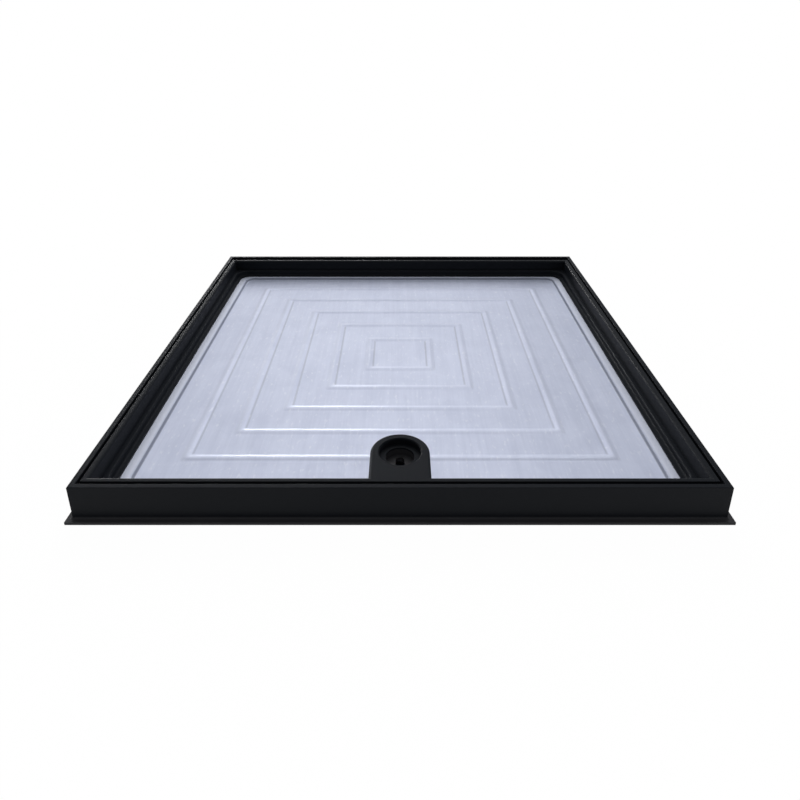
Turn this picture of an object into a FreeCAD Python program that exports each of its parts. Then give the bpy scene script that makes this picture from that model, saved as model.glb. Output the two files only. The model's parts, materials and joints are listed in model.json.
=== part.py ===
import FreeCAD, Part

import math
import os

import Sketcher

# Driving dimensions, in millimetres and degrees
SIZES = [
    ("frame_width", 700.0, "outer frame, across its top edges"),
    ("frame_height", 44.0, "base of the frame to its top edge"),
    ("frame_wall", 6.3, "wall of the frame at the top"),
    ("frame_draft", 1.3, "lean of the outer wall"),
    ("flange_reach", 6.4, "base flange beyond the foot of the wall"),
    ("flange_thick", 3.4, "base flange"),
    ("flange_cove", 2.6, "cove between the wall and the base flange"),
    ("edge_round", 0.6, "rounding of the outer top edges of frame and surround"),
    ("seat_height", 8.0, "ledge on which the seal lies"),
    ("seat_width", 43.7, "ledge on which the seal lies, recess to the square opening through the frame"),
    ("frame_skin", 3.5, "wall over and beside the cells under the ledge"),
    ("frame_cell_count", 12, "cells under each side of the ledge"),
    ("seal_thick", 3.0, "rubber seal, height"),
    ("seal_width", 24.0, "rubber seal, across"),
    ("seal_clearance", 0.7, "seal to the wall of the frame"),
    ("side_gap", 3.4, "tray to frame at the front and the sides"),
    ("rear_gap", 14.5, "tray to frame at the rear, room to tilt the tray out"),
    ("rim_width", 7.0, "flat top of the surround with its rounded edge"),
    ("rim_round", 3.5, "rounded inner edge of the rim"),
    ("wall_draft", 6.0, "lean of the inner walls"),
    ("step_depth", 18.0, "rim down to the ledge of the inner wall"),
    ("step_width", 6.2, "ledge of the inner wall"),
    ("step_round", 2.0, "rounded edge of that ledge"),
    ("inner_corner", 22.0, "corner radius of the inner wall below the ledge"),
    ("lip_reach", 6.2, "lip over the border of the pan"),
    ("lip_thick", 2.0, "lip"),
    ("lip_corner", 17.0, "corner radius of the lip"),
    ("lip_cove", 2.4, "cove between the inner wall and the lip"),
    ("skirt_thick", 3.5, "walls of the surround that are cored from below"),
    ("tray_cell_end", 54.3, "outer face of the surround to the ends of its rows of cells"),
    ("tray_cell_web", 9.0, "web between two cells"),
    ("tray_cell_count", 11, "cells under each side of the surround"),
    ("sheet_thick", 2.0, "steel sheet of the pan"),
    ("pan_clearance", 0.6, "edge of the pan to the skirt of the surround"),
    ("border_show", 12.2, "raised border of the pan that shows inside the lip, with its slope"),
    ("band_rise", 3.0, "raised border above the field"),
    ("band_slope", 45.0, "slope of the joggle up to the border"),
    ("band_corner", 14.0, "corner radius of the joggle"),
    ("field_margin", 10.0, "foot of the raised border to the end of the beaded sheet"),
    ("bead_first", 47.05, "middle of the pan to the innermost bead"),
    ("bead_border", 49.7, "foot of the raised border to the outermost bead"),
    ("bead_count", 5, "square beads in the pan"),
    ("bead_width", 11.6, "bead, across"),
    ("bead_rise", 2.5, "bead above the field"),
    ("bead_clearance", 0.8, "foot of the key boss to bead and border"),
    ("boss_width", 68.0, "key boss, across"),
    ("well_setback", 61.0, "front edge of the frame to the centre of the well"),
    ("well_mouth_radius", 24.0, "seat for the plug of the well"),
    ("well_mouth_depth", 7.7, "depth of that seat"),
    ("well_mouth_bevel", 1.2, "bevelled mouth of the well"),
    ("well_radius", 16.5, "well below the plug"),
    ("key_room", 13.5, "floor of the well above the field of the pan"),
    ("well_floor", 3.0, "floor of the well"),
    ("slot_width", 10.4, "key slot, across"),
    ("slot_length", 22.0, "key slot, overall"),
    ("key_pit_wall", 2.5, "front wall of the pit of the key plate"),
    ("key_plate_width", 56.0, "key plate along the front"),
    ("key_plate_length", 34.0, "key plate, front to back"),
    ("key_plate_thick", 3.0, "key plate"),
    ("key_plate_corner", 5.0, "corner radius of the key plate"),
    ("key_plate_margin", 0.4, "slot in the key plate, wider all round than the one above"),
    ("key_plate_play", 0.5, "key plate to the walls of its pit"),
    ("key_screw_spacing", 44.0, "between the two screws of the key plate"),
    ("key_screw_length", 11.0, "screw of the key plate, under its head"),
    ("pan_screw_count", 2, "screws along each side of the pan"),
    ("pan_screw_cells", 7, "cells from one screw to the next"),
    ("pan_screw_length", 9.0, "screw of the pan, under its head"),
    ("screw_radius", 2.0, "shank of a screw"),
    ("screw_head_width", 8.0, "hexagonal head of a screw, across its corners"),
    ("screw_head_height", 2.2, "head of a screw"),
    ("screw_hole_play", 0.4, "radius of a hole beyond the shank"),
    ("pilot_play", 0.05, "radius of a pilot hole beyond the shank"),
    ("pilot_spare", 1.5, "pilot hole deeper than the screw"),
]

LEAST_REACH = 1e-6
MATCH = 1e-3

document = FreeCAD.newDocument("paving_cover")
sheet = document.addObject("Spreadsheet::Sheet", "sizes")
for row, (alias, size, note) in enumerate(SIZES, start=1):
    sheet.set(f"A{row}", note)
    sheet.set(f"B{row}", str(size))
    sheet.setAlias(f"B{row}", alias)
document.recompute()

# Heights above the base
RIM = "sizes.frame_height"
FIELD_UNDER = "(sizes.seat_height + sizes.seal_thick)"
FIELD_TOP = f"({FIELD_UNDER} + sizes.sheet_thick)"
BAND_UNDER = f"({FIELD_UNDER} + sizes.band_rise)"
BAND_TOP = f"({FIELD_TOP} + sizes.band_rise)"
LEDGE = f"({RIM} - sizes.step_depth)"
LIP_TOP = f"({BAND_TOP} + sizes.lip_thick)"
WELL_FLOOR = f"({FIELD_TOP} + sizes.key_room)"
KEY_PLATE_TOP = f"({WELL_FLOOR} - sizes.well_floor)"
KEY_PLATE_UNDER = f"({KEY_PLATE_TOP} - sizes.key_plate_thick)"

# Distances from the middle of the frame
FRAME_HALF = "(sizes.frame_width / 2)"
FOOT_HALF = f"({FRAME_HALF} + sizes.frame_height * tan(sizes.frame_draft))"
FLANGE_HALF = f"({FOOT_HALF} + sizes.flange_reach)"
RECESS_HALF = f"({FRAME_HALF} - sizes.frame_wall)"
OPENING_HALF = f"({RECESS_HALF} - sizes.seat_width)"
FRAME_CELL_PITCH = f"(2 * {OPENING_HALF} / sizes.frame_cell_count)"
SEAL_OUTER = f"({RECESS_HALF} - sizes.seal_clearance)"
TRAY_HALF = f"({RECESS_HALF} - sizes.side_gap)"
TRAY_BACK = f"({RECESS_HALF} - sizes.rear_gap)"
TRAY_MIDDLE = f"(({TRAY_BACK} - {TRAY_HALF}) / 2)"
PAN_HALF = f"({TRAY_HALF} - sizes.skirt_thick - sizes.pan_clearance)"
PAN_DEPTH_HALF = f"(({TRAY_BACK} + {TRAY_HALF}) / 2 - sizes.skirt_thick - sizes.pan_clearance)"

# How far each face of the surround stands in from its outer face
UPPER_FOOT = "(sizes.rim_width + sizes.step_depth * tan(sizes.wall_draft))"
LEDGE_EDGE = f"({UPPER_FOOT} + sizes.step_width)"
LOWER_FOOT = f"({LEDGE_EDGE} + ({LEDGE} - {LIP_TOP}) * tan(sizes.wall_draft))"
LIP_EDGE = f"({LOWER_FOOT} + sizes.lip_reach)"
CELL_INNER = f"({LEDGE_EDGE} - sizes.skirt_thick)"
TRAY_CELL_PITCH = f"(2 * ({TRAY_HALF} - sizes.tray_cell_end) / sizes.tray_cell_count)"
SCREW_LINE = f"((sizes.skirt_thick + {CELL_INNER}) / 2)"

# The key boss
BOSS_HALF = "(sizes.boss_width / 2)"
WELL_CENTRE = f"(sizes.well_setback - {FRAME_HALF})"

# The pan, from its own middle
BAND_HALF = f"({TRAY_HALF} - {LIP_EDGE} - sizes.border_show)"
FIELD_HALF = f"({BAND_HALF} - sizes.field_margin)"
LAST_BEAD = f"({BAND_HALF} - sizes.bead_border)"
BEAD_PITCH = f"(({LAST_BEAD} - sizes.bead_first) / (sizes.bead_count - 1))"

# The foot of the boss stands on the field between the border and the outermost bead
FOOT_FRONT = f"({TRAY_MIDDLE} + sizes.bead_clearance - {BAND_HALF})"
FOOT_BACK = f"({TRAY_MIDDLE} - {LAST_BEAD} - sizes.bead_width / 2 - sizes.bead_clearance)"

# The key plate lies in a pit of that foot
PIT_FRONT = f"({FOOT_FRONT} + sizes.key_pit_wall)"
KEY_PLATE_MIDDLE = f"({PIT_FRONT} + sizes.key_plate_play + sizes.key_plate_length / 2)"

# The pressed forms of the pan
JOGGLE_RUN = "(sizes.band_rise / tan(sizes.band_slope))"
JOGGLE_SHIFT = "(sizes.sheet_thick * tan(sizes.band_slope / 2))"
BEAD_RADIUS = "((sizes.bead_width ^ 2 / 4 + sizes.bead_rise ^ 2) / (2 * sizes.bead_rise))"
BEAD_INNER_RADIUS = f"({BEAD_RADIUS} - sizes.sheet_thick)"
BEAD_CENTRE = f"({FIELD_TOP} + sizes.bead_rise - {BEAD_RADIUS})"


def value(expression):
    """The number that an expression over the sheet gives."""
    result = sheet.evalExpression(expression)
    return float(getattr(result, "Value", result))


def new_body(label):
    body = document.addObject("PartDesign::Body", label)
    body.Label = label
    return body


def origin_feature(body, role):
    return next(feature for feature in body.Origin.OriginFeatures if feature.Role == role)


def new_sketch(body, name, height="0", plane="XY_Plane"):
    """An empty sketch on one of the body's own planes, raised by height."""
    sketch = body.newObject("Sketcher::SketchObject", name)
    sketch.AttachmentSupport = [(origin_feature(body, plane), "")]
    sketch.MapMode = "FlatFace"
    sketch.setExpression("AttachmentOffset.Base.z", height)
    return sketch


def bind(sketch, kind, arguments, expression):
    """One dimension of a sketch, driven by the sheet."""
    index = sketch.addConstraint(Sketcher.Constraint(kind, *arguments, value(expression)))
    sketch.setExpression(f"Constraints[{index}]", expression)


def place_along(sketch, kind, geometry, point, expression):
    """Hold a point at a signed distance from the sketch's origin, along one axis."""
    reach = value(expression)
    across = {"DistanceX": -2, "DistanceY": -1}[kind]
    if abs(reach) < LEAST_REACH:
        sketch.addConstraint(Sketcher.Constraint("PointOnObject", geometry, point, across))
    elif reach > 0:
        bind(sketch, kind, (-1, 1, geometry, point), expression)
    else:
        bind(sketch, kind, (geometry, point, -1, 1), f"-({expression})")


def place(sketch, geometry, point, x, y):
    place_along(sketch, "DistanceX", geometry, point, x)
    place_along(sketch, "DistanceY", geometry, point, y)


def add_line(sketch, start, end):
    return sketch.addGeometry(Part.LineSegment(FreeCAD.Vector(*start), FreeCAD.Vector(*end)), False)


def add_arc(sketch, centre, radius, first_angle, last_angle):
    circle = Part.Circle(FreeCAD.Vector(*centre), FreeCAD.Vector(0, 0, 1), radius)
    arc = Part.ArcOfCircle(circle, math.radians(first_angle), math.radians(last_angle))
    return sketch.addGeometry(arc, False)


def join(sketch, first, second, kind="Coincident"):
    """Join the end of one curve to the start of the next; each is (curve, end)."""
    sketch.addConstraint(Sketcher.Constraint(kind, *first, *second))


def draw_outline(sketch, corners):
    """Straight-sided closed outline through the corners, each an (x, y) of expressions."""
    points = [(value(x), value(y), 0) for x, y in corners]
    lines = [add_line(sketch, start, end) for start, end in zip(points, points[1:] + points[:1])]
    for line, following in zip(lines, lines[1:] + lines[:1]):
        join(sketch, (line, 2), (following, 1))
    for line, (x, y) in zip(lines, corners):
        place(sketch, line, 1, x, y)


def draw_rectangle(sketch, left, front, right, back):
    draw_outline(sketch, [(left, front), (right, front), (right, back), (left, back)])


def draw_rounded_rectangle(sketch, left, front, right, back, radius):
    """Rectangle with four equal round corners."""
    x0, y0, x1, y1, bend = (value(item) for item in (left, front, right, back, radius))
    sides = [
        add_line(sketch, (x0 + bend, y0, 0), (x1 - bend, y0, 0)),
        add_line(sketch, (x1, y0 + bend, 0), (x1, y1 - bend, 0)),
        add_line(sketch, (x1 - bend, y1, 0), (x0 + bend, y1, 0)),
        add_line(sketch, (x0, y1 - bend, 0), (x0, y0 + bend, 0)),
    ]
    centres = [(x1 - bend, y0 + bend, 0), (x1 - bend, y1 - bend, 0),
               (x0 + bend, y1 - bend, 0), (x0 + bend, y0 + bend, 0)]
    bends = [add_arc(sketch, centre, bend, 90 * turn - 90, 90 * turn) for turn, centre in enumerate(centres)]
    for side, corner, following in zip(sides, bends, sides[1:] + sides[:1]):
        join(sketch, (side, 2), (corner, 1), "Tangent")
        join(sketch, (corner, 2), (following, 1), "Tangent")
    for corner in bends[1:]:
        sketch.addConstraint(Sketcher.Constraint("Equal", bends[0], corner))
    for side, kind in zip(sides, ["Horizontal", "Vertical"] * 2):
        sketch.addConstraint(Sketcher.Constraint(kind, side))
    bind(sketch, "Radius", (bends[0],), radius)
    for side, kind, edge in zip(sides, ["DistanceY", "DistanceX"] * 2, [front, right, back, left]):
        place_along(sketch, kind, side, 1, edge)


def draw_d_shape(sketch, half_width, front, centre):
    """Straight front and sides with a half-round back about (0, centre)."""
    half, y0, middle = (value(item) for item in (half_width, front, centre))
    base = add_line(sketch, (-half, y0, 0), (half, y0, 0))
    right = add_line(sketch, (half, y0, 0), (half, middle, 0))
    back = add_arc(sketch, (0, middle, 0), half, 0, 180)
    left = add_line(sketch, (-half, middle, 0), (-half, y0, 0))
    join(sketch, (base, 2), (right, 1))
    join(sketch, (right, 2), (back, 1), "Tangent")
    join(sketch, (back, 2), (left, 1), "Tangent")
    join(sketch, (left, 2), (base, 1))
    sketch.addConstraint(Sketcher.Constraint("Horizontal", base))
    sketch.addConstraint(Sketcher.Constraint("Vertical", right))
    sketch.addConstraint(Sketcher.Constraint("Vertical", left))
    place(sketch, back, 3, "0", centre)
    bind(sketch, "Radius", (back,), half_width)
    place_along(sketch, "DistanceY", base, 1, front)


def draw_slot(sketch, width, length, centre):
    """Round-ended slot along Y about (0, centre)."""
    radius = f"({width} / 2)"
    throw = f"(({length} - {width}) / 2)"
    bend, reach, middle = (value(item) for item in (radius, throw, centre))
    far = add_arc(sketch, (0, middle + reach, 0), bend, 0, 180)
    near = add_arc(sketch, (0, middle - reach, 0), bend, 180, 360)
    left = add_line(sketch, (-bend, middle + reach, 0), (-bend, middle - reach, 0))
    right = add_line(sketch, (bend, middle - reach, 0), (bend, middle + reach, 0))
    join(sketch, (far, 2), (left, 1), "Tangent")
    join(sketch, (left, 2), (near, 1), "Tangent")
    join(sketch, (near, 2), (right, 1), "Tangent")
    join(sketch, (right, 2), (far, 1), "Tangent")
    place(sketch, far, 3, "0", f"({centre} + {throw})")
    place(sketch, near, 3, "0", f"({centre} - {throw})")
    bind(sketch, "Radius", (far,), radius)


def draw_circle(sketch, x, y, radius):
    circle = Part.Circle(FreeCAD.Vector(value(x), value(y), 0), FreeCAD.Vector(0, 0, 1), value(radius))
    index = sketch.addGeometry(circle, False)
    place(sketch, index, 3, x, y)
    bind(sketch, "Radius", (index,), radius)


def check(feature):
    """Stop if a feature failed, or left no valid solid."""
    if {"Invalid", "Error"} & set(feature.State) or feature.Shape.isNull() or not feature.Shape.isValid():
        raise RuntimeError(f"{feature.Name} failed")


def extrude(body, kind, name, sketch, length, taper="0", up=True):
    """Pad or pocket a sketch, and see that it changed the volume the right way."""
    before = body.Shape.Volume if body.Tip else 0.0
    feature = body.newObject(f"PartDesign::{kind}", name)
    feature.Profile = sketch
    feature.setExpression("Length", length)
    feature.setExpression("TaperAngle", taper)
    feature.Reversed = up if kind == "Pocket" else not up
    document.recompute()
    check(feature)
    gained = body.Shape.Volume - before
    if gained * (1 if kind == "Pad" else -1) <= 0:
        raise RuntimeError(f"{name} changed nothing")
    return feature


def pad(body, name, sketch, length, taper="0"):
    return extrude(body, "Pad", name, sketch, length, taper)


def pocket(body, name, sketch, length, taper="0", up=False):
    return extrude(body, "Pocket", name, sketch, length, taper, up)


def repeat_along(body, feature, role, spacing, count):
    """Repeat a feature along one of the body's axes."""
    pattern = body.newObject("PartDesign::LinearPattern", f"{feature.Name}_row")
    pattern.Originals = [feature]
    pattern.Direction = (origin_feature(body, role), [""])
    pattern.Mode = "Spacing"
    pattern.setExpression("Offset", spacing)
    pattern.setExpression("Occurrences", count)
    body.Tip = pattern
    document.recompute()
    check(pattern)
    return pattern


def top_face(body, height):
    """The largest flat face of a body that looks up at a height."""
    faces = [face for face in body.Tip.Shape.Faces
             if abs(face.BoundBox.ZMin - height) < MATCH and abs(face.BoundBox.ZMax - height) < MATCH
             and face.normalAt(0, 0).z > 0]
    return max(faces, key=lambda face: face.Area)


def inner_wires(face):
    return [wire for wire in face.Wires if not wire.isSame(face.OuterWire)]


def round_wire(body, name, radius, wires, kind="Fillet", size="Radius"):
    """Fillet or bevel the edges of the body that lie on some wires of its faces."""
    tip = body.Tip
    wanted = [edge for wire in wires for edge in wire.Edges]
    names = [f"Edge{index}" for index, edge in enumerate(tip.Shape.Edges, start=1)
             if any(edge.isSame(other) for other in wanted)]
    feature = body.newObject(f"PartDesign::{kind}", name)
    feature.Base = (tip, names)
    feature.setExpression(size, radius)
    document.recompute()
    check(feature)
    return feature


def face_names(shape, wanted):
    """Names of the faces of a shape for which a test holds."""
    return [f"Face{index}" for index, face in enumerate(shape.Faces, start=1) if wanted(face)]


def lean_walls(body, name, foot, top, angle):
    """Draft the upright walls that run from one height to another, so that they stand out at their foot."""
    tip = body.Tip
    low, high = value(foot), value(top)
    neutral = top_face(body, high)
    feature = body.newObject("PartDesign::Draft", name)
    feature.Base = (tip, face_names(tip.Shape, lambda face: abs(face.BoundBox.ZMin - low) < MATCH
                                    and abs(face.BoundBox.ZMax - high) < MATCH))
    feature.NeutralPlane = (tip, face_names(tip.Shape, neutral.isSame))
    feature.setExpression("Angle", angle)
    document.recompute()
    check(feature)


def tray_box(inset):
    """Left, front, right and back of the surround's outline set in by an expression."""
    side = f"({TRAY_HALF} - {inset})"
    return f"(-{side})", f"(-{side})", side, f"({TRAY_BACK} - {inset})"


def square(half):
    return f"(-{half})", f"(-{half})", half, half


def row_start(middle, pitch, count):
    """First of a row of places that is centred on middle."""
    return f"({middle} - ({count} - 1) * {pitch} / 2)"


def cut_cell_rows(body, height, depth, rows, pitch, count):
    """Cut cells up from a height: a pair of rows along each axis, each from its first cell."""
    for role, boxes in rows.items():
        cells = new_sketch(body, f"{body.Label}_cells_{role[0]}_outline", height)
        for box in boxes:
            draw_rectangle(cells, *box)
        first = pocket(body, f"{body.Label}_cells_{role[0]}", cells, depth, up=True)
        repeat_along(body, first, role, pitch, count)


def build_frame():
    """One moulding: leaning wall, base flange, seat ledge with cells underneath."""
    body = new_body("outer_frame")
    outline = new_sketch(body, "frame_outline")
    draw_rectangle(outline, *square(FRAME_HALF))
    pad(body, "frame_block", outline, RIM)
    lean_walls(body, "frame_lean", "0", RIM, "sizes.frame_draft")

    flange = new_sketch(body, "flange_outline")
    draw_rectangle(flange, *square(FLANGE_HALF))
    pad(body, "frame_flange", flange, "sizes.flange_thick")

    recess = new_sketch(body, "recess_outline", RIM)
    draw_rectangle(recess, *square(RECESS_HALF))
    pocket(body, "frame_recess", recess, f"{RIM} - sizes.seat_height")

    opening = new_sketch(body, "opening_outline", "sizes.seat_height")
    draw_rectangle(opening, *square(OPENING_HALF))
    pocket(body, "frame_opening", opening, "sizes.seat_height")

    near = f"({OPENING_HALF} + sizes.frame_skin)"
    start = row_start("0", FRAME_CELL_PITCH, "sizes.frame_cell_count")
    half = f"(({FRAME_CELL_PITCH} - sizes.frame_skin) / 2)"
    low, high = f"({start} - {half})", f"({start} + {half})"
    cell_rows = {
        "X_Axis": [(low, f"(-{RECESS_HALF})", high, f"(-{near})"), (low, near, high, RECESS_HALF)],
        "Y_Axis": [(near, low, RECESS_HALF, high), (f"(-{RECESS_HALF})", low, f"(-{near})", high)],
    }
    depth = "sizes.seat_height - sizes.frame_skin"
    cut_cell_rows(body, "0", depth, cell_rows, FRAME_CELL_PITCH, "sizes.frame_cell_count")

    cove_wires = inner_wires(top_face(body, value("sizes.flange_thick")))
    round_wire(body, "flange_cove", "sizes.flange_cove", cove_wires)
    round_wire(body, "frame_top_edges", "sizes.edge_round", top_face(body, value(RIM)).Wires)
    return body


def build_seal():
    """Flat rubber ring on the seat ledge."""
    body = new_body("frame_seal")
    outline = new_sketch(body, "seal_outline", "sizes.seat_height")
    draw_rectangle(outline, *square(SEAL_OUTER))
    draw_rectangle(outline, *square(f"({SEAL_OUTER} - sizes.seal_width)"))
    pad(body, "seal_ring", outline, "sizes.seal_thick")
    return body


def cut_tray_cells(body):
    """Core the surround from below between webs that carry the screws."""
    half = f"(({TRAY_CELL_PITCH} - sizes.tray_cell_web) / 2)"
    near = tray_box(CELL_INNER)
    far = tray_box("sizes.skirt_thick")
    across = row_start("0", TRAY_CELL_PITCH, "sizes.tray_cell_count")
    along = row_start(TRAY_MIDDLE, TRAY_CELL_PITCH, "sizes.tray_cell_count")
    left, right = f"({across} - {half})", f"({across} + {half})"
    front, back = f"({along} - {half})", f"({along} + {half})"
    rows = {
        "X_Axis": [(left, far[1], right, near[1]), (left, near[3], right, far[3])],
        "Y_Axis": [(near[2], front, far[2], back), (far[0], front, near[0], back)],
    }
    depth = f"{LEDGE} - sizes.skirt_thick - {BAND_TOP}"
    cut_cell_rows(body, BAND_TOP, depth, rows, TRAY_CELL_PITCH, "sizes.tray_cell_count")


def pan_screw_places():
    """Where the screws of the pan stand, as expressions: a row along each side."""
    pitch = f"(sizes.pan_screw_cells * {TRAY_CELL_PITCH})"
    left, front, right, back = tray_box(SCREW_LINE)
    across = row_start("0", pitch, "sizes.pan_screw_count")
    along = row_start(TRAY_MIDDLE, pitch, "sizes.pan_screw_count")
    for turn in range(int(value("sizes.pan_screw_count"))):
        x, y = f"({across} + {turn} * {pitch})", f"({along} + {turn} * {pitch})"
        yield from ((x, front), (right, y), (x, back), (left, y))


def key_screw_places():
    half = "(sizes.key_screw_spacing / 2)"
    return (f"(-{half})", KEY_PLATE_MIDDLE), (half, KEY_PLATE_MIDDLE)


def cut_round_holes(body, name, places, height, depth, play):
    """Round holes up from a height at each place, wider than the shank by play."""
    outline = new_sketch(body, f"{name}_outline", height)
    for x, y in places:
        draw_circle(outline, x, y, f"(sizes.screw_radius + {play})")
    pocket(body, name, outline, depth, up=True)


def build_surround():
    """One moulding: rim, stepped inner walls, lip, and the key boss with its well."""
    body = new_body("tray_surround")
    block = new_sketch(body, "tray_outline", FIELD_UNDER)
    draw_rectangle(block, *tray_box("0"))
    pad(body, "tray_block", block, f"{RIM} - {FIELD_UNDER}")

    upper = new_sketch(body, "upper_recess_outline", RIM)
    draw_rectangle(upper, *tray_box("sizes.rim_width"))
    pocket(body, "upper_recess", upper, "sizes.step_depth")
    lean_walls(body, "upper_lean", LEDGE, RIM, "sizes.wall_draft")

    lower = new_sketch(body, "lower_recess_outline", LEDGE)
    draw_rounded_rectangle(lower, *tray_box(LEDGE_EDGE), "sizes.inner_corner")
    pocket(body, "lower_recess", lower, f"{LEDGE} - {LIP_TOP}")
    lean_walls(body, "lower_lean", LIP_TOP, LEDGE, "sizes.wall_draft")

    lip = new_sketch(body, "lip_outline", LIP_TOP)
    draw_rounded_rectangle(lip, *tray_box(LIP_EDGE), "sizes.lip_corner")
    pocket(body, "lip_opening", lip, f"{LIP_TOP} - {FIELD_UNDER}")

    seat = new_sketch(body, "pan_seat_outline", FIELD_UNDER)
    draw_rectangle(seat, *tray_box("sizes.skirt_thick"))
    pocket(body, "pan_seat", seat, f"{BAND_TOP} - {FIELD_UNDER}", up=True)

    lip_foot = top_face(body, value(LIP_TOP)).OuterWire
    round_wire(body, "lip_cove", "sizes.lip_cove", [lip_foot])
    ledge_edges = inner_wires(top_face(body, value(LEDGE)))
    round_wire(body, "ledge_edge", "sizes.step_round", ledge_edges)

    boss = new_sketch(body, "boss_outline", BAND_TOP)
    draw_d_shape(boss, BOSS_HALF, f"(sizes.skirt_thick - {TRAY_HALF})", WELL_CENTRE)
    pad(body, "key_boss", boss, f"{RIM} - {BAND_TOP}")
    foot = new_sketch(body, "boss_foot_outline", FIELD_TOP)
    draw_d_shape(foot, BOSS_HALF, FOOT_FRONT, WELL_CENTRE)
    pad(body, "boss_foot", foot, f"{BAND_TOP} - {FIELD_TOP}")
    bead = new_sketch(body, "bead_way_outline", FIELD_TOP)
    draw_rectangle(bead, f"(-{BOSS_HALF})", FOOT_BACK, BOSS_HALF, f"({WELL_CENTRE} + {BOSS_HALF})")
    pocket(body, "bead_way", bead, f"{BAND_TOP} - {FIELD_TOP}", up=True)

    pit = new_sketch(body, "key_pit_outline", FIELD_TOP)
    pit_half = "(sizes.key_plate_width / 2 + sizes.key_plate_play)"
    pit_reach = "(sizes.key_plate_length / 2 + sizes.key_plate_play)"
    draw_rectangle(pit, f"(-{pit_half})", f"({KEY_PLATE_MIDDLE} - {pit_reach})",
                   pit_half, f"({KEY_PLATE_MIDDLE} + {pit_reach})")
    pocket(body, "key_pit", pit, f"{KEY_PLATE_TOP} - {FIELD_TOP}", up=True)

    rim = top_face(body, value(RIM))
    round_wire(body, "rim_edge", "sizes.rim_round", inner_wires(rim))
    round_wire(body, "tray_outer_edge", "sizes.edge_round", [top_face(body, value(RIM)).OuterWire])
    mouth = new_sketch(body, "well_mouth_outline", RIM)
    draw_circle(mouth, "0", WELL_CENTRE, "sizes.well_mouth_radius")
    pocket(body, "well_mouth", mouth, "sizes.well_mouth_depth")
    well = new_sketch(body, "well_outline", RIM)
    draw_circle(well, "0", WELL_CENTRE, "sizes.well_radius")
    pocket(body, "well", well, f"{RIM} - {WELL_FLOOR}")
    slot = new_sketch(body, "slot_outline", WELL_FLOOR)
    draw_slot(slot, "sizes.slot_width", "sizes.slot_length", WELL_CENTRE)
    pocket(body, "key_slot", slot, "sizes.well_floor")
    mouth_wire = min(inner_wires(top_face(body, value(RIM))), key=lambda wire: wire.Length)
    round_wire(body, "well_mouth_edge", "sizes.well_mouth_bevel", [mouth_wire], "Chamfer", "Size")

    key_depth = "sizes.key_screw_length - sizes.key_plate_thick + sizes.pilot_spare"
    cut_round_holes(body, "key_pilots", key_screw_places(), KEY_PLATE_TOP, key_depth, "sizes.pilot_play")
    pan_depth = "sizes.pan_screw_length - sizes.sheet_thick + sizes.pilot_spare"
    cut_round_holes(body, "pan_pilots", pan_screw_places(), BAND_TOP, pan_depth, "sizes.pilot_play")
    cut_tray_cells(body)
    return body


def draw_beaded_section(sketch):
    """Half of the sheet's section: flat from the middle, with an arch at each bead."""
    centres = [f"(sizes.bead_first + {turn} * {BEAD_PITCH})" for turn in range(int(value("sizes.bead_count")))]
    middle = value(BEAD_CENTRE)
    chains = []
    for level, radius in ((FIELD_UNDER, BEAD_INNER_RADIUS), (FIELD_TOP, BEAD_RADIUS)):
        height, bend = value(level), value(radius)
        half = math.sqrt(bend ** 2 - (height - middle) ** 2)
        foot = math.degrees(math.asin((height - middle) / bend))
        flats = []
        arches = []
        start = 0.0
        for centre in centres:
            x = value(centre)
            flats.append(add_line(sketch, (start, height, 0), (x - half, height, 0)))
            arches.append(add_arc(sketch, (x, middle, 0), bend, foot, 180 - foot))
            place(sketch, arches[-1], 3, centre, BEAD_CENTRE)
            bind(sketch, "Radius", (arches[-1],), radius)
            start = x + half
        flats.append(add_line(sketch, (start, height, 0), (value(FIELD_HALF), height, 0)))
        for flat, arch, following in zip(flats, arches, flats[1:]):
            join(sketch, (flat, 2), (arch, 2))
            join(sketch, (arch, 1), (following, 1))
        for flat in flats[1:]:
            sketch.addConstraint(Sketcher.Constraint("Horizontal", flat))
            place_along(sketch, "DistanceY", flat, 1, level)
        place(sketch, flats[0], 1, "0", level)
        sketch.addConstraint(Sketcher.Constraint("Horizontal", flats[0]))
        place_along(sketch, "DistanceX", flats[-1], 2, FIELD_HALF)
        chains.append(flats)
    for turn, point, x in ((0, 1, 0.0), (-1, 2, value(FIELD_HALF))):
        end = add_line(sketch, (x, value(FIELD_UNDER), 0), (x, value(FIELD_TOP), 0))
        join(sketch, (chains[0][turn], point), (end, 1))
        join(sketch, (chains[1][turn], point), (end, 2))


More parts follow.
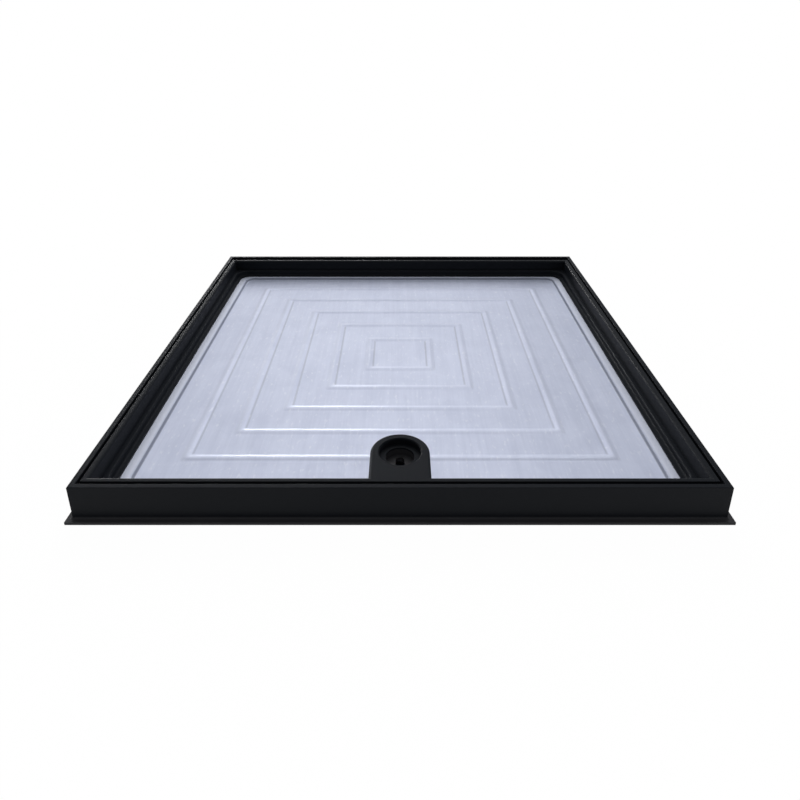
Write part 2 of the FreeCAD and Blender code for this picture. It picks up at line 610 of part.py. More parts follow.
def build_pan():
    """One pressing: a quarter with its beads and border is mitred and turned four times about the tray's middle."""
    body = new_body("steel_pan")
    body.setExpression("Placement.Base.y", TRAY_MIDDLE)
    border = new_sketch(body, "border_outline", FIELD_UNDER)
    draw_rectangle(border, *square(PAN_HALF))
    draw_rectangle(border, *square(FIELD_HALF))
    pad(body, "pan_border", border, f"{BAND_TOP} - {FIELD_UNDER}")
    slope_top = f"({BAND_HALF} + {JOGGLE_RUN})"
    joggle = new_sketch(body, "joggle_outline", BAND_TOP)
    draw_rounded_rectangle(joggle, *square(slope_top), f"(sizes.band_corner + {JOGGLE_RUN})")
    pocket(body, "joggle", joggle, "sizes.band_rise", "-sizes.band_slope")
    under = new_sketch(body, "joggle_under_outline", FIELD_UNDER)
    draw_rectangle(under, *square(f"({PAN_HALF} + {JOGGLE_RUN} + sizes.sheet_thick)"))
    draw_rounded_rectangle(under, *square(f"({BAND_HALF} + {JOGGLE_SHIFT})"),
                           f"(sizes.band_corner + {JOGGLE_SHIFT})")
    pocket(body, "joggle_under", under, "sizes.band_rise", "sizes.band_slope", up=True)

    section = new_sketch(body, "beaded_section", plane="XZ_Plane")
    draw_beaded_section(section)
    field = body.newObject("PartDesign::Pad", "beaded_field")
    field.Profile = section
    field.SideType = "Symmetric"
    field.setExpression("Length", f"2 * {FIELD_HALF}")
    document.recompute()
    check(field)
    reach = "sizes.frame_width"
    for side, sign in (("back", ""), ("front", "-")):
        mitre = new_sketch(body, f"mitre_{side}_outline")
        draw_outline(mitre, [("0", "0"), (reach, f"{sign}{reach}"), (f"-{reach}", f"{sign}{reach}"), (f"-{reach}", "0")])
        pocket(body, f"mitre_{side}", mitre, RIM, up=True)
    quarters = body.newObject("PartDesign::PolarPattern", "four_quarters")
    quarters.TransformMode = "Whole shape"
    quarters.Axis = (origin_feature(body, "Z_Axis"), [""])
    quarters.Angle = 360
    quarters.Occurrences = 4
    body.Tip = quarters
    document.recompute()
    check(quarters)

    trim = new_sketch(body, "border_trim_outline")
    draw_rectangle(trim, f"-{reach}", PAN_DEPTH_HALF, reach, reach)
    draw_rectangle(trim, f"-{reach}", f"-{reach}", reach, f"-{PAN_DEPTH_HALF}")
    pocket(body, "border_trim", trim, RIM, up=True)
    places = [(x, f"({y} - {TRAY_MIDDLE})") for x, y in pan_screw_places()]
    cut_round_holes(body, "pan_holes", places, BAND_UNDER, "sizes.sheet_thick", "sizes.screw_hole_play")
    return body


def build_key_plate():
    """Steel plate under the floor of the well, with the same slot and two screw holes."""
    body = new_body("key_plate")
    outline = new_sketch(body, "key_plate_outline", KEY_PLATE_UNDER)
    half, reach = "(sizes.key_plate_width / 2)", "(sizes.key_plate_length / 2)"
    draw_rounded_rectangle(outline, f"(-{half})", f"({KEY_PLATE_MIDDLE} - {reach})",
                           half, f"({KEY_PLATE_MIDDLE} + {reach})", "sizes.key_plate_corner")
    pad(body, "plate", outline, "sizes.key_plate_thick")
    slot = new_sketch(body, "plate_slot_outline", KEY_PLATE_UNDER)
    margin = "2 * sizes.key_plate_margin"
    draw_slot(slot, f"(sizes.slot_width + {margin})", f"(sizes.slot_length + {margin})", WELL_CENTRE)
    pocket(body, "plate_slot", slot, "sizes.key_plate_thick", up=True)
    cut_round_holes(body, "plate_holes", key_screw_places(), KEY_PLATE_UNDER, "sizes.key_plate_thick",
                    "sizes.screw_hole_play")
    return body


def screw_shape(length):
    """Screw that points up, its seat at the origin: hexagonal head below, plain shank above."""
    head_height = value("sizes.screw_head_height")
    reach = FreeCAD.Vector(value("sizes.screw_head_width") / 2, 0, -head_height)
    turns = [FreeCAD.Rotation(FreeCAD.Vector(0, 0, 1), 60 * turn) for turn in range(7)]
    outline = Part.Face(Part.makePolygon([turn.multVec(reach) for turn in turns]))
    head = outline.extrude(FreeCAD.Vector(0, 0, head_height))
    return head.fuse(Part.makeCylinder(value("sizes.screw_radius"), length)).removeSplitter()


def build_screws(label, length, places, seat):
    """One piece for each place, all in one group, their heads under the height seat."""
    screws = []
    for x, y in places:
        screw = screw_shape(value(length))
        screw.translate(FreeCAD.Vector(value(x), value(y), value(seat)))
        screws.append(screw)
    group = document.addObject("Part::Feature", label)
    group.Label = label
    group.Shape = Part.makeCompound(screws)
    return group


pieces = [
    build_frame(),
    build_seal(),
    build_surround(),
    build_pan(),
    build_key_plate(),
    build_screws("key_plate_screws", "sizes.key_screw_length", key_screw_places(), KEY_PLATE_UNDER),
    build_screws("pan_screws", "sizes.pan_screw_length", pan_screw_places(), BAND_UNDER),
]

document.recompute()
for item in document.Objects:
    if {"Invalid", "Error"} & set(item.State):
        raise RuntimeError(f"{item.Name} failed")
for piece in pieces:
    check(piece)

os.makedirs("parts", exist_ok=True)
for piece in pieces:
    piece.Shape.exportStep(f"parts/{piece.Label}.step")
    print(piece.Label, "solids", len(piece.Shape.Solids), "volume", round(piece.Shape.Volume))
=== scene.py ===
# Recessed paving cover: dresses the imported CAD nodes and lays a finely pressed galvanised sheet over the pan.
import json
import math

import bpy
import numpy as np
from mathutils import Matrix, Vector


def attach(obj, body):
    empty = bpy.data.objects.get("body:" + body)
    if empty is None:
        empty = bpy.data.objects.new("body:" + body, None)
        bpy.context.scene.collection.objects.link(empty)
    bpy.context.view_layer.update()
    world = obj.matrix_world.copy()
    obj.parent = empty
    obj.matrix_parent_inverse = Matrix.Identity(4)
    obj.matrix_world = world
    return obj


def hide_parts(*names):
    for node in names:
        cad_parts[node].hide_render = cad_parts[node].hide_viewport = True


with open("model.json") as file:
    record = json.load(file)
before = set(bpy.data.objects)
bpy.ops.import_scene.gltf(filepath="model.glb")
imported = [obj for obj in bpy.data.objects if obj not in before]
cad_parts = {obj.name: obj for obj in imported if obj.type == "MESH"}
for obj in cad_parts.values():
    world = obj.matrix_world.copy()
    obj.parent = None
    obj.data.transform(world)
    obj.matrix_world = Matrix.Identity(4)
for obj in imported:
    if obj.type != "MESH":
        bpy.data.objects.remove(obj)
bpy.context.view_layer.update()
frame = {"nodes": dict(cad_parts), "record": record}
nodes = frame["nodes"]
scene = bpy.context.scene
print("frame loaded:", ", ".join(sorted(nodes)))

mm = 0.001


# one output socket of a node: sums, products and powers of it add Math nodes
class Signal:
    def __init__(self, finish, socket):
        self.finish = finish
        self.socket = socket

    def maths(self, operation, first, second=None):
        inputs = {0: first}
        if second is not None:
            inputs[1] = second
        return self.finish.node("ShaderNodeMath", {"operation": operation}, inputs)["Value"]

    def __add__(self, other):
        return self.maths("ADD", self, other)

    def __radd__(self, other):
        return self.maths("ADD", other, self)

    def __sub__(self, other):
        return self.maths("SUBTRACT", self, other)

    def __rsub__(self, other):
        return self.maths("SUBTRACT", other, self)

    def __mul__(self, other):
        return self.maths("MULTIPLY", self, other)

    def __rmul__(self, other):
        return self.maths("MULTIPLY", other, self)

    def __pow__(self, other):
        return self.maths("POWER", self, other)

    def absolute(self):
        return self.maths("ABSOLUTE", self)

    def above(self, limit):
        return self.maths("MAXIMUM", self, limit)

    def below(self, limit):
        return self.maths("MINIMUM", self, limit)

    # what is left over after whole lengths are taken away
    def modulo(self, length):
        return self.maths("FLOORED_MODULO", self, length)

    # 0 below low, 1 above high, an S-shaped ramp between them
    def ramp(self, low, high):
        return self.finish.node("ShaderNodeMapRange", {"interpolation_type": "SMOOTHSTEP"},
                                {"Value": self, "From Min": low, "From Max": high})["Result"]


# the outputs of a node by name, as signals
class Outputs:
    def __init__(self, finish, node):
        self.finish = finish
        self.node = node

    def __getitem__(self, name):
        return Signal(self.finish, self.node.outputs[name])


# the node tree of a material or of the world, filled by expressions
class Finish:
    def __init__(self, owner):
        owner.use_nodes = True
        self.tree = owner.node_tree
        self.tree.nodes.clear()

    def node(self, kind, settings=None, inputs=None):
        made = self.tree.nodes.new(kind)
        for name, setting in (settings or {}).items():
            setattr(made, name, setting)
        for name, given in (inputs or {}).items():
            socket = made.inputs[name]
            if isinstance(given, Signal):
                self.tree.links.new(given.socket, socket)
            else:
                socket.default_value = given
        return Outputs(self, made)

    def axes(self):
        place = self.node("ShaderNodeTexCoord")["Object"]
        split = self.node("ShaderNodeSeparateXYZ", None, {"Vector": place})
        return split["X"], split["Y"], split["Z"]

    # noise on Object coordinates; stretch squeezes it along the axes
    def noise(self, size, stretch=(1.0, 1.0, 1.0), detail=2.0, roughness=0.5, offset=(0.0, 0.0, 0.0),
              distortion=0.0):
        place = self.node("ShaderNodeTexCoord")["Object"]
        moved = self.node("ShaderNodeMapping", None, {"Vector": place, "Location": offset, "Scale": stretch})
        return self.node("ShaderNodeTexNoise", None, {
            "Vector": moved["Vector"], "Scale": 1.0 / size, "Detail": detail, "Roughness": roughness,
            "Distortion": distortion})["Fac"]

    # the second colour laid over the first by a share from 0 to 1
    def blend(self, share, first, second):
        colourA, colourB, colourResult = 6, 7, 2  # the sockets of a Mix node that hold colours
        mixed = self.node("ShaderNodeMix", {"data_type": "RGBA"},
                          {"Factor": share, colourA: first, colourB: second})
        return mixed[colourResult]

    def bump(self, height, strength, distance, before=None):
        inputs = {"Height": height, "Strength": strength, "Distance": distance}
        if before is not None:
            inputs["Normal"] = before
        return self.node("ShaderNodeBump", None, inputs)["Normal"]

    # 0 on flats, 1 where the surface turns sharply within the width
    def edges(self, width):
        least, most = 0.002, 0.12  # one less the cosine of the turn
        rounded = self.node("ShaderNodeBevel", {"samples": 16}, {"Radius": width})["Normal"]
        flat = self.node("ShaderNodeNewGeometry")["Normal"]
        turned = self.node("ShaderNodeVectorMath", {"operation": "DOT_PRODUCT"}, {0: rounded, 1: flat})
        return (1.0 - turned["Value"]).ramp(least, most)

    def principled(self, sockets):
        self.close(self.node("ShaderNodeBsdfPrincipled", None, sockets)["BSDF"])

    def close(self, shader, kind="ShaderNodeOutputMaterial"):
        out = self.tree.nodes.new(kind)
        self.tree.links.new(shader.socket, out.inputs["Surface"])


def colour(r, g, b):
    return (r, g, b, 1.0)


def newMaterial(name):
    material = bpy.data.materials.new(name)
    return material, Finish(material)


def dress(node, material):
    for place in nodes[node].material_slots:
        place.material = material


# the camera, fitted to the photograph's corners
cameraLook = {
    "place": (0.0, -0.86685, 0.49164), "pitch": 24.4,  # degrees below the horizon
    "focalPixels": 626.1, "imageSide": 800, "shift": -0.122,
    "sensor": 36.0, "farthest": 200.0,
}
camera = bpy.data.cameras.new("camera")
camera.sensor_width = cameraLook["sensor"]
camera.lens = cameraLook["focalPixels"] / cameraLook["imageSide"] * cameraLook["sensor"]
camera.shift_y = cameraLook["shift"]
camera.clip_end = cameraLook["farthest"]
cameraObject = bpy.data.objects.new("camera", camera)
cameraObject.location = cameraLook["place"]
cameraObject.rotation_euler = (math.radians(90.0 - cameraLook["pitch"]), 0.0, 0.0)
scene.collection.objects.link(cameraObject)
scene.camera = cameraObject
scene.view_settings.view_transform = "Standard"
print("camera placed")


# lamps: soft panels that point at the origin, each seen by gloss or not
panelLook = {
    "backPanel": {"place": (0.0, 7.2, 4.3), "width": 3.2, "depth": 4.2, "watts": 708.0, "inGloss": False},
    "topPanel": {"place": (0.0, 1.2, 2.3), "width": 2.5, "depth": 0.8, "watts": 13.0, "inGloss": True},
    "horizonPanel": {"place": (-1.95, 4.5, 0.4), "width": 3.9, "depth": 0.4, "watts": 72.0, "inGloss": True},
    "sidePanel": {"place": (4.5, 0.5, 0.9), "width": 2.0, "depth": 0.8, "watts": 40.0, "inGloss": False},
}


def addPanel(name, look):
    panel = bpy.data.lights.new(name, "AREA")
    panel.shape = "RECTANGLE"
    panel.size = look["width"]
    panel.size_y = look["depth"]
    panel.energy = look["watts"]
    panelObject = bpy.data.objects.new(name, panel)
    panelObject.location = look["place"]
    panelObject.rotation_euler = (-Vector(look["place"])).to_track_quat("-Z", "Y").to_euler()
    panelObject.visible_glossy = look["inGloss"]
    scene.collection.objects.link(panelObject)


for name, look in panelLook.items():
    addPanel(name, look)


# the world: white for the camera, a plain level for the rest, and for gloss a sky behind the object
# that is bright at the horizon and duller to the right, with little in front
skyLook = {
    "tone": (0.92, 0.95, 1.0), "level": 0.26,
    "front": 0.15, "behind": (-0.30, 0.30),
    "low": 1.0, "high": 0.28, "rise": (0.45, 0.66),
    "dullness": 0.77, "toRight": (-0.35, 0.55),
}
world = bpy.data.worlds.new("studio")
scene.world = world
sky = Finish(world)
paths = sky.node("ShaderNodeLightPath")
direction = sky.node("ShaderNodeSeparateXYZ", None, {"Vector": sky.node("ShaderNodeTexCoord")["Generated"]})
behind = direction["Y"].ramp(*skyLook["behind"])
climb = direction["Z"].ramp(*skyLook["rise"])
sheen = skyLook["low"] + climb * (skyLook["high"] - skyLook["low"])
sheen = sheen * (1.0 - direction["X"].ramp(*skyLook["toRight"]) * skyLook["dullness"])
gloss = paths["Is Glossy Ray"] * (skyLook["front"] + behind * (sheen - skyLook["front"]))
seen = paths["Is Camera Ray"] + gloss + paths["Is Transmission Ray"]
ambient = sky.node("ShaderNodeBackground", None, {
    "Color": colour(*skyLook["tone"]), "Strength": skyLook["level"]})
white = sky.node("ShaderNodeBackground", None, {"Color": colour(1, 1, 1), "Strength": 1.0})
skyMix = sky.node("ShaderNodeMixShader", None, {
    0: seen.below(1.0), 1: ambient["Background"], 2: white["Background"]})
sky.close(skyMix["Shader"], "ShaderNodeOutputWorld")


# the floor: white for the camera, with a faint trace of the object's shadow close to it
floorLook = {"tone": (0.93, 0.93, 0.93), "shade": 0.012, "reach": (0.45, 0.75), "half": 60.0}
floorHalf = floorLook["half"]
floorCorners = [(floorHalf * x, floorHalf * y, 0.0) for x, y in ((-1, -1), (1, -1), (1, 1), (-1, 1))]
floorMesh = bpy.data.meshes.new("floor")
floorMesh.from_pydata(floorCorners, [], [(0, 1, 2, 3)])
floor = bpy.data.objects.new("floor", floorMesh)
scene.collection.objects.link(floor)
floorMaterial, ground = newMaterial("studioFloor")
paths = ground.node("ShaderNodeLightPath")
seen = (paths["Is Camera Ray"] + paths["Is Glossy Ray"] + paths["Is Transmission Ray"]).below(1.0)
groundX, groundY = ground.axes()[:2]
away = (groundX * groundX + groundY * groundY) ** 0.5
nearby = 1.0 - away.ramp(*floorLook["reach"])
plain = ground.node("ShaderNodeBsdfDiffuse", None, {"Color": colour(*floorLook["tone"])})
bright = ground.node("ShaderNodeEmission", None, {"Color": colour(1, 1, 1), "Strength": 1.0})
groundMix = ground.node("ShaderNodeMixShader", None, {
    0: seen * (1.0 - nearby * floorLook["shade"]), 1: plain["BSDF"], 2: bright["Emission"]})
ground.close(groundMix["Shader"])
floorMesh.materials.append(floorMaterial)
print("lamps, world and floor made")


# where the key well stands, from the frame's record
keyWell = next(mount for mount in frame["record"]["mounts"] if mount["name"] == "key_well")
wellY = keyWell["pos_m"][1]


# moulded black plastic of the frame and of the tray's surround
plasticLook = {
    "tone": (0.0068, 0.0080, 0.0104), "shade": 1.12, "rubbed": (0.0094, 0.0108, 0.0134), "rubbedShare": 0.35,
    "dust": (0.015, 0.0168, 0.0196), "settled": (0.060, 0.059, 0.062),
    "gloss": 0.08, "rough": 0.45, "cloudRough": 0.16, "scuffRough": 0.08, "wornRough": 0.06,
    "clouds": 90.0 * mm, "rubbedClouds": (0.35, 0.75), "waves": 35.0 * mm, "grain": 0.9 * mm,
    "scuffs": 4.0 * mm, "scuffStretch": (1.0, 0.06, 1.0),
    "edge": 1.1 * mm, "edgeWear": (0.35, 0.9), "edgeDust": 0.16,  # edgeWear: least, and how much clouds add
    "settledShare": (0.55, 0.6),  # least, and how much clouds add
    "leatherBump": (0.05, 0.12 * mm), "waveBump": (0.12, 0.5 * mm),  # strength and height
    "flangeDust": (3.6 * mm, 6.0 * mm),  # heights between which the dust on the base flange fades
    "wellEdge": (23.0 * mm, 24.5 * mm), "wellDust": (33.0 * mm, 35.5 * mm),  # radii and heights in the well
}


# settled is a function of the position that gives the share of dust on the surface
def mouldedPlastic(name, seed, settled):
    material, finish = newMaterial(name)
    clouds = finish.noise(plasticLook["clouds"], detail=4.0, offset=(seed, 0.0, 0.0))
    grain = finish.noise(plasticLook["grain"], offset=(0.0, seed, 0.0))
    scuffs = finish.noise(plasticLook["scuffs"], plasticLook["scuffStretch"], detail=3.0,
                          offset=(0.0, 0.0, seed))
    waves = finish.noise(plasticLook["waves"], detail=1.0)
    wornLeast, wornClouds = plasticLook["edgeWear"]
    worn = finish.edges(plasticLook["edge"]) * (wornLeast + clouds * wornClouds).below(1.0)
    tone = colour(*(part * plasticLook["shade"] for part in plasticLook["tone"]))
    rubbed = clouds.ramp(*plasticLook["rubbedClouds"]) * plasticLook["rubbedShare"]
    tone = finish.blend(rubbed, tone, colour(*plasticLook["rubbed"]))
    tone = finish.blend(worn * plasticLook["edgeDust"], tone, colour(*plasticLook["dust"]))
    dustLeast, dustClouds = plasticLook["settledShare"]
    dusty = settled(*finish.axes()) * (dustLeast + clouds * dustClouds)
    tone = finish.blend(dusty, tone, colour(*plasticLook["settled"]))
    rough = (plasticLook["rough"] + (clouds - 0.5) * plasticLook["cloudRough"]
             + (scuffs - 0.5) * plasticLook["scuffRough"] + worn * plasticLook["wornRough"])
    leather = finish.bump(grain, *plasticLook["leatherBump"])
    finish.principled({"Base Color": tone, "Roughness": rough, "Specular IOR Level": plasticLook["gloss"],
                       "Normal": finish.bump(waves, *plasticLook["waveBump"], leather)})
    return material


# dust on the base flange
def flangeDust(x, y, z):
    return 1.0 - z.ramp(*plasticLook["flangeDust"])


# dust at the bottom of the key well
def wellDust(x, y, z):
    aside = y - wellY
    inside = 1.0 - ((x * x + aside * aside) ** 0.5).ramp(*plasticLook["wellEdge"])
    return inside * (1.0 - z.ramp(*plasticLook["wellDust"]))


dress("outer_frame", mouldedPlastic("framePlastic", 3.0, flangeDust))
dress("tray_surround", mouldedPlastic("surroundPlastic", 11.0, wellDust))
print("moulded plastic dressed")


# rubber seal
rubberLook = {
    "tone": (0.010, 0.010, 0.010), "gloss": 0.3, "rough": 0.72, "gritRough": 0.2,
    "bloom": (0.035, 0.034, 0.032), "bloomShare": 0.6, "bloomSize": 20.0 * mm, "bloomEdge": (0.45, 0.8),
    "grit": 1.2 * mm, "gritBump": (0.3, 0.1 * mm),
}


def sealRubber(name):
    material, finish = newMaterial(name)
    bloom = finish.noise(rubberLook["bloomSize"], detail=4.0).ramp(*rubberLook["bloomEdge"])
    grit = finish.noise(rubberLook["grit"])
    tone = finish.blend(bloom * rubberLook["bloomShare"], colour(*rubberLook["tone"]),
                        colour(*rubberLook["bloom"]))
    rough = rubberLook["rough"] + (grit - 0.5) * rubberLook["gritRough"]
    finish.principled({"Base Color": tone, "Roughness": rough, "Specular IOR Level": rubberLook["gloss"],
                       "Normal": finish.bump(grit, *rubberLook["gritBump"])})
    return material


dress("frame_seal", sealRubber("sealRubber"))


# zinc plated key plate and screws
zincLook = {
    "tone": (0.46, 0.46, 0.45), "dull": (0.30, 0.30, 0.30), "bare": (0.62, 0.62, 0.61), "bareShare": 0.5,
    "rough": 0.34, "cloudRough": 0.16, "turnedRough": 0.12, "wornRough": -0.08,
    "cloud": 6.0 * mm, "cloudEdge": (0.3, 0.75), "edge": 0.5 * mm, "screwShade": 1.12,
    "turned": 0.9 * mm, "turnedStretch": (1.0, 0.12, 1.0), "turnedBump": (0.15, 0.05 * mm),
}


def zincPlate(name, shade):
    material, finish = newMaterial(name)
    cloud = finish.noise(zincLook["cloud"], detail=4.0)
    turned = finish.noise(zincLook["turned"], zincLook["turnedStretch"])
    worn = finish.edges(zincLook["edge"])
    tone = colour(*(part * shade for part in zincLook["tone"]))
    tone = finish.blend(cloud.ramp(*zincLook["cloudEdge"]), tone, colour(*zincLook["dull"]))
    tone = finish.blend(worn * zincLook["bareShare"], tone, colour(*zincLook["bare"]))
    rough = (zincLook["rough"] + cloud * zincLook["cloudRough"] + (turned - 0.5) * zincLook["turnedRough"]
             + worn * zincLook["wornRough"])
    finish.principled({"Base Color": tone, "Metallic": 1.0, "Roughness": rough,
                       "Normal": finish.bump(turned, *zincLook["turnedBump"])})
    return material


dress("key_plate", zincPlate("keyPlateZinc", 1.0))
dress("key_plate_screws", zincPlate("screwZinc", zincLook["screwShade"]))
dress("pan_screws", zincPlate("panScrewZinc", zincLook["screwShade"]))
print("seal, key plate and screws dressed")


# the pressed sheet's form, in distances from the middle of the pan
panForm = {
    "thick": 2.0 * mm, "beads": 5, "beadFirst": 47.05 * mm, "beadPitch": 52.3 * mm,
    "beadHalf": 6.6 * mm, "beadFade": 0.7 * mm, "beadRise": 1.42 * mm, "mitreRound": 5.0 * mm,
    "borderHalf": 304.5 * mm, "borderRun": 1.8 * mm, "borderCorner": 14.0 * mm,
    "gridMargin": 1.6 * mm, "gridAcross": 13, "gridFlat": 20.0 * mm,  # lines of the grid over each bead
    "gridBefore": 1.0 * mm, "gridBend": 25, "gridGap": 0.4 * mm,  # over the border's round corners
    "gridRamp": 9, "gridBeyond": 0.6 * mm,  # and over its step
}
arcMiddle = panForm["borderHalf"] - panForm["borderCorner"]  # to the middle of the border's round corners

# the pan's place and levels, from the box of its solid, to a hundredth of a millimetre
panCorners = np.array(nodes["steel_pan"].bound_box)
panLow = np.round(panCorners.min(axis=0), 5).tolist()
panHigh = np.round(panCorners.max(axis=0), 5).tolist()
panMiddle = (panLow[1] + panHigh[1]) / 2.0
panHalfWide, panHalfDeep = panHigh[0], (panHigh[1] - panLow[1]) / 2.0
panField = panLow[2] + panForm["thick"]
borderRise = panHigh[2] - panField


# lines of the grid along one axis: close together over each bead and over the step up to the border
def panLines(half):
    across = np.linspace(-1.0, 1.0, panForm["gridAcross"])
    crests = panForm["beadFirst"] + panForm["beadPitch"] * np.arange(panForm["beads"])
    over = (crests[:, None] + across * (panForm["beadHalf"] + panForm["gridMargin"])).ravel()
    bendStart, rampEnd = arcMiddle - panForm["gridBefore"], panForm["borderRun"] + panForm["gridBeyond"]
    bend = np.linspace(bendStart, panForm["borderHalf"] - panForm["gridGap"], panForm["gridBend"])
    ramp = panForm["borderHalf"] + np.linspace(0.0, rampEnd, panForm["gridRamp"])
    flats = np.concatenate([[0.0, panForm["gridFlat"]], crests + panForm["beadPitch"] / 2, [half]])
    side = np.unique(np.round(np.concatenate([over, bend, ramp, flats]), 6))
    side = side[side <= half + 1e-9]
    return np.concatenate([-side[:0:-1], side])


# a bead's height at a distance d from its crest: one cosine wave, (1 + cos(pi d / w)) / 2, for d up to w
def beadHeight(distance):
    width = panForm["beadHalf"] + panForm["beadFade"]
    inside = np.clip(np.abs(distance) / width, 0.0, 1.0)
    return panForm["beadRise"] * (0.5 + 0.5 * np.cos(np.pi * inside))


# the sheet's upper side: beads by the square distance max(|x|, |y|), softened at the mitres,
# and a smooth step up to the border by the distance from a square with round corners
def panHeight(x, y):
    a, b = np.abs(x), np.abs(y)
    soft = np.clip(1.0 - np.abs(a - b) / panForm["mitreRound"], 0.0, 1.0)
    ring = np.maximum(a, b) + soft ** 2 * panForm["mitreRound"] / 4.0
    height = np.full(x.shape, panField)
    for turn in range(panForm["beads"]):
        height += beadHeight(ring - panForm["beadFirst"] - turn * panForm["beadPitch"])
    da, db = a - arcMiddle, b - arcMiddle
    outside = np.hypot(np.maximum(da, 0.0), np.maximum(db, 0.0)) + np.minimum(np.maximum(da, db), 0.0)
    climb = np.clip((outside - panForm["borderCorner"]) / panForm["borderRun"], 0.0, 1.0)
    return height + borderRise * climb ** 2 * (3.0 - 2.0 * climb)


# the grid as triangles, each cell cut along the mitre's direction, with the sheet's thickness below it
def pressedSheet(name):
    xs, ys = panLines(panHalfWide), panLines(panHalfDeep)
    x, y = np.meshgrid(xs, ys)
    top = np.stack([x, y + panMiddle, panHeight(x, y)], axis=-1).reshape(-1, 3)
    rows, columns = len(ys), len(xs)
    corner = (np.arange(rows - 1)[:, None] * columns + np.arange(columns - 1)).ravel()
    a, b, c, d = corner, corner + 1, corner + columns + 1, corner + columns
    middleX = (x[:-1, :-1] + x[1:, 1:]).ravel()
    middleY = (y[:-1, :-1] + y[1:, 1:]).ravel()
    rising = (middleX * middleY > 0)[:, None]
    first = np.where(rising, np.stack([a, b, c], 1), np.stack([a, b, d], 1))
    second = np.where(rising, np.stack([a, c, d], 1), np.stack([b, c, d], 1))
    mesh = bpy.data.meshes.new(name)
    mesh.from_pydata(top, [], np.concatenate([first, second]).tolist())
    mesh.update()
    mesh.shade_smooth()
    piece = bpy.data.objects.new(name, mesh)
    scene.collection.objects.link(piece)
    solid = piece.modifiers.new("sheetThickness", "SOLIDIFY")
    solid.thickness = panForm["thick"]
    solid.offset = -1.0
    return piece


panSheet = pressedSheet("pressed_pan_sheet")
print("pressed sheet made,", len(panSheet.data.polygons), "faces")


# galvanised steel: brushed streaks and patches, with rubbed crests, and painted sheen, a painted highlight and
# painted shade by place
steelLook = {
    "streaks": {"size": 3.5 * mm, "stretch": (1.0, 0.035, 1.0), "detail": 5.0, "roughness": 0.6},
    "longStreaks": {"size": 14.0 * mm, "stretch": (1.0, 0.09, 1.0), "detail": 3.0, "offset": (4.0, 0.0, 0.0)},
    "patches": {"size": 55.0 * mm, "detail": 5.0, "roughness": 0.62, "distortion": 0.6},
    "spangle": {"size": 12.0 * mm, "detail": 3.0, "roughness": 0.7, "distortion": 1.2},
    "flecks": {"size": 4.2 * mm, "stretch": (1.0, 0.38, 1.0), "detail": 3.0, "offset": (7.0, 2.0, 0.0)},
    "tone": (0.570, 0.610, 0.755), "pale": (0.660, 0.695, 0.830), "dark": (0.470, 0.505, 0.640),
    "mottling": (0.35, 0.3, 0.55),  # shares of the first three patterns
    "mottlingEdge": (0.38, 0.82), "plainShare": 0.50,
    "fleck": (0.85, 0.87, 0.93), "fleckEdge": (0.57, 0.74), "fleckShare": 0.30,
    # painted highlight: a lighter tone over the border's flat
    "bright": (0.80, 0.83, 0.94), "brightShare": 0.6, "brightEdge": (2.5 * mm, 5.0 * mm),  # the border's flat
    # the dark colour below is painted shade, laid at the inner feet of the side beads, along the border's
    # crease and around the key well
    "grime": (0.055, 0.060, 0.080), "footGrime": 0.25, "creaseGrime": 0.62, "wellGrime": 0.9,
    # crests pale by wear; at the side beads the band is shifted onto the outer slope as painted sheen
    "rubbed": 0.20, "rubbedShift": 2.6 * mm, "rubbedEdge": (1.5 * mm, 4.5 * mm),
    "lineEdge": (0.4 * mm, 2.2 * mm), "mitreEdge": 3.0 * mm, "creaseShift": 0.6 * mm,
    "beadsEnd": (0.4, 0.5),  # parts of the pitch beyond the last crest
    "wellEdge": (18.0 * mm, 24.0 * mm),
    "metal": 0.25, "creaseMetal": 0.9, "rough": 0.33, "creaseRough": 0.45,
    "patchRough": 0.10, "streakRough": 0.10, "spangleRough": 0.06,
    "brushedBump": (0.05, 0.05 * mm), "rolledBump": (0.10, 0.5 * mm),  # strength and height
}


# 1 on a line and 0 beside it, by the distance from the line; edge is where it starts and ends to fade
def nearLine(distance, edge):
    return 1.0 - distance.absolute().ramp(*edge)


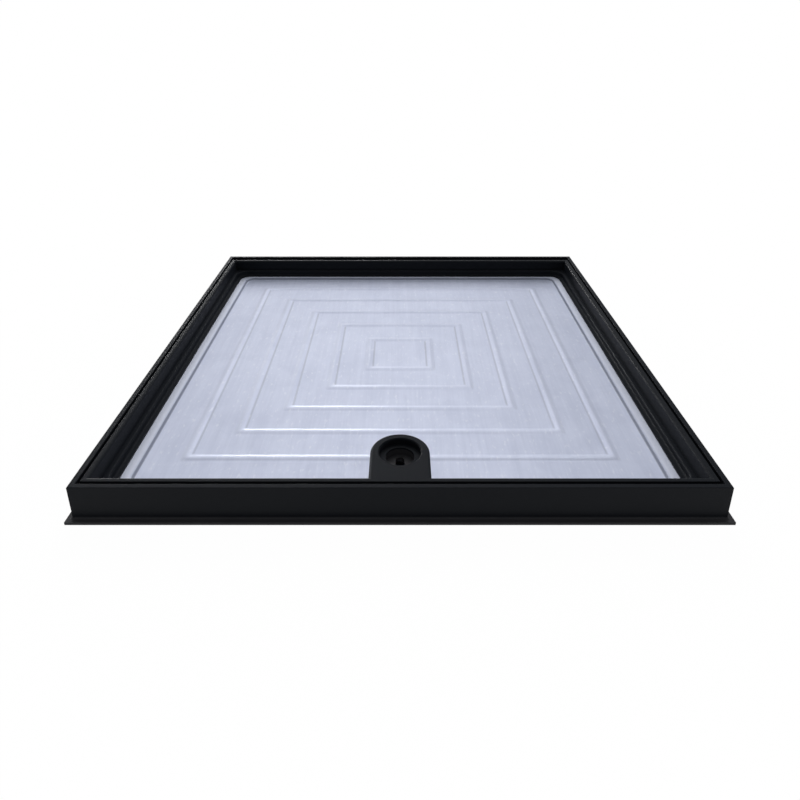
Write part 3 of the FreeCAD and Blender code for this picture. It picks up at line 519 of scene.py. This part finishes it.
def galvanisedSteel(name):
    material, finish = newMaterial(name)
    streaks, longStreaks, patches = (
        finish.noise(**steelLook[pattern]) for pattern in ("streaks", "longStreaks", "patches"))
    spangle, flecks = finish.noise(**steelLook["spangle"]), finish.noise(**steelLook["flecks"])

    # distances on the sheet: outward from the nearest crest, from the middle of the border's round corners
    # and from the middle of the key well
    x, y = finish.axes()[:2]
    sideways = x.absolute()
    lengthways = (y - panMiddle).absolute()
    ring = sideways.above(lengthways)
    lastCrest = panForm["beadFirst"] + (panForm["beads"] - 1) * panForm["beadPitch"]
    onBeads = 1.0 - ring.ramp(*(lastCrest + part * panForm["beadPitch"] for part in steelLook["beadsEnd"]))
    fromFirst = ring - (panForm["beadFirst"] - panForm["beadPitch"] / 2)
    outward = fromFirst.modulo(panForm["beadPitch"]) - panForm["beadPitch"] / 2
    atSides = (sideways - lengthways).ramp(-steelLook["mitreEdge"], steelLook["mitreEdge"])
    besideX, besideY = sideways - arcMiddle, lengthways - arcMiddle
    corner = (besideX.above(0.0) ** 2.0 + besideY.above(0.0) ** 2.0) ** 0.5
    corner = corner + besideX.above(besideY).below(0.0)
    aside = y - wellY
    fromWell = (x * x + aside * aside) ** 0.5

    # painted shade: a dark line at the inner foot of each bead, on the side beads only
    feet = nearLine(outward + panForm["beadHalf"], steelLook["lineEdge"]) * onBeads * atSides
    # rubbed crests, and at the side beads a painted sheen shifted onto the outer slope
    crests = nearLine(outward - atSides * steelLook["rubbedShift"], steelLook["rubbedEdge"]) * onBeads
    # the border's crease: a line darkened with painted shade, also made rougher and less metallic
    crease = nearLine(corner - panForm["borderCorner"] - steelLook["creaseShift"], steelLook["lineEdge"])
    # painted highlight over the border's flat
    borderHighlight = corner.ramp(*(panForm["borderCorner"] + edge for edge in steelLook["brightEdge"]))
    # around the key well, where the sheet is darkened with painted shade
    well = 1.0 - fromWell.ramp(*steelLook["wellEdge"])

    ofStreaks, ofLongStreaks, ofPatches = steelLook["mottling"]
    mottling = streaks * ofStreaks + longStreaks * ofLongStreaks + patches * ofPatches
    pale, grime = colour(*steelLook["pale"]), colour(*steelLook["grime"])
    tone = finish.blend(mottling.ramp(*steelLook["mottlingEdge"]), colour(*steelLook["dark"]), pale)
    tone = finish.blend(steelLook["plainShare"], tone, colour(*steelLook["tone"]))
    tone = finish.blend(flecks.ramp(*steelLook["fleckEdge"]) * steelLook["fleckShare"], tone,
                        colour(*steelLook["fleck"]))
    # pale on the rubbed crests, and painted sheen on the side beads' outer slopes
    tone = finish.blend(crests * steelLook["rubbed"], tone, pale)
    # painted shade at the inner feet of the side beads
    tone = finish.blend(feet * steelLook["footGrime"], tone, grime)
    # painted highlight on the border's flat
    tone = finish.blend(borderHighlight * steelLook["brightShare"], tone, colour(*steelLook["bright"]))
    # painted shade along the border's crease
    tone = finish.blend(crease * steelLook["creaseGrime"], tone, grime)
    # painted shade on the sheet under the key well
    tone = finish.blend(well * steelLook["wellGrime"], tone, grime)
    rough = (steelLook["rough"] + (patches - 0.5) * steelLook["patchRough"]
             + (streaks - 0.5) * steelLook["streakRough"] + (spangle - 0.5) * steelLook["spangleRough"]
             + crease * steelLook["creaseRough"])
    metal = steelLook["metal"] * (1.0 - crease * steelLook["creaseMetal"])
    brushed = finish.bump(streaks, *steelLook["brushedBump"])
    finish.principled({"Base Color": tone, "Metallic": metal, "Roughness": rough,
                       "Normal": finish.bump(patches, *steelLook["rolledBump"], brushed)})
    return material


galvanised = galvanisedSteel("galvanisedSheet")
panSheet.data.materials.append(galvanised)
dress("steel_pan", galvanised)
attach(panSheet, "root")
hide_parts("steel_pan")
print("galvanised sheet dressed")
